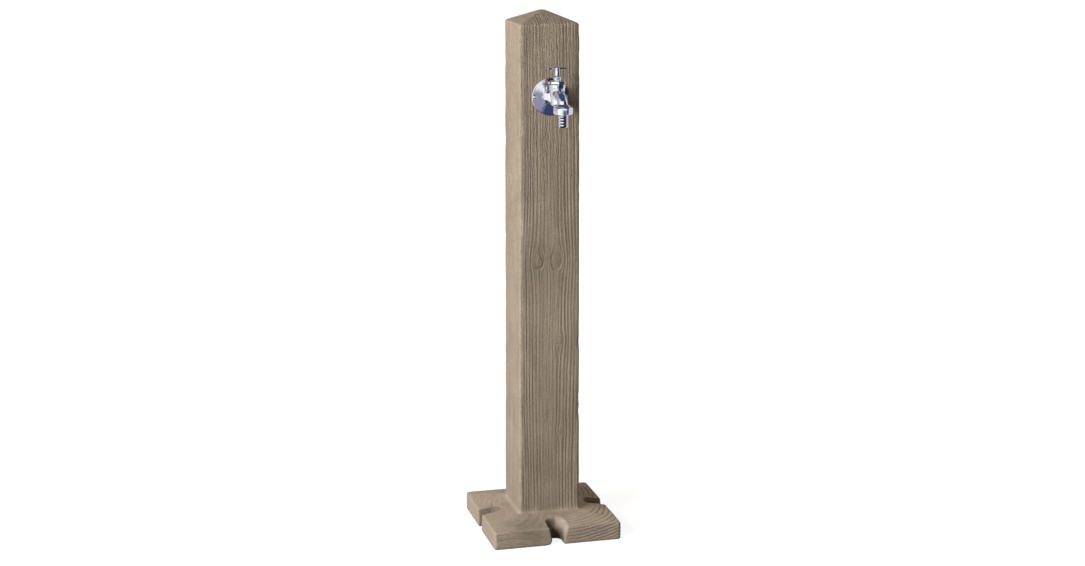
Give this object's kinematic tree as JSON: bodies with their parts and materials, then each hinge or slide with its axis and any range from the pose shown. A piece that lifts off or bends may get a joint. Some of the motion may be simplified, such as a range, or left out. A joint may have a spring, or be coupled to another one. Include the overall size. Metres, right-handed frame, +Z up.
{
  "type": "garden tap post",
  "caption": "Square wood-grain cast stone post on a slotted foot, with an inner riser pipe and a chromed garden tap with T handle and hose union.",
  "frame": {"origin": "centre of the foot's underside, on the ground", "axes": "+Z up the post; -Y out of the face that carries the tap; +X to the right seen from in front of the tap"},
  "size_m": [0.249, 0.294, 1],
  "materials": {
    "cast_stone": "matt taupe cast stone with a weathered wood grain",
    "chromed_brass": "polished chrome plate",
    "raw_brass": "machined brass",
    "galvanised_steel": "galvanised steel",
    "nylon": "grey nylon",
    "black_rubber": "black rubber",
    "red_fibre": "pressed fibre"
  },
  "bodies": {
    "post": {"post_casting": "cast_stone", "foot_plate": "galvanised_steel", "foot_plate_plugs": "nylon", "foot_plate_screws": "galvanised_steel", "inlet_socket": "raw_brass", "inlet_locknut": "raw_brass", "riser_pipe": "galvanised_steel", "riser_elbow": "raw_brass", "backing_washer": "galvanised_steel", "tap_extension": "raw_brass", "rosette": "chromed_brass", "rosette_plugs": "nylon", "rosette_screws": "chromed_brass", "tap_body": "chromed_brass", "headwork_gasket": "red_fibre", "headwork": "chromed_brass", "gland_packing": "black_rubber", "gland_nut": "chromed_brass"},
    "valve": {"jumper_valve": "raw_brass", "seat_washer": "black_rubber", "washer_nut": "raw_brass"},
    "spindle": {"spindle": "raw_brass", "t_handle": "chromed_brass", "handle_screw": "chromed_brass"},
    "tail": {"hose_tail": "chromed_brass", "union_washer": "black_rubber"},
    "nut": {"union_nut": "chromed_brass"}
  },
  "joints": [
    {"name": "stem_lift", "type": "slide", "parent": "post", "child": "valve", "axis": [0, 0, 1], "range_m": [0, 0.0053]},
    {"name": "handle_turn", "type": "hinge", "parent": "valve", "child": "spindle", "pos_m": [0, -0.11006, 0.904], "axis": [0, 0, 1], "range_deg": [0, 810]},
    {"name": "tail_drop", "type": "slide", "parent": "post", "child": "tail", "axis": [0, 0, -1], "range_m": [0, 0.00908]},
    {"name": "nut_turn", "type": "hinge", "parent": "tail", "child": "nut", "pos_m": [0, -0.15106, 0.8338], "axis": [0, 0, -1], "range_deg": [0, 1800]}
  ],
  "couplings": [
    {"joint": "stem_lift", "follows": "handle_turn", "m_per_rad": 0.00031831},
    {"joint": "tail_drop", "follows": "nut_turn", "m_per_rad": 0.00028871}
  ]
}
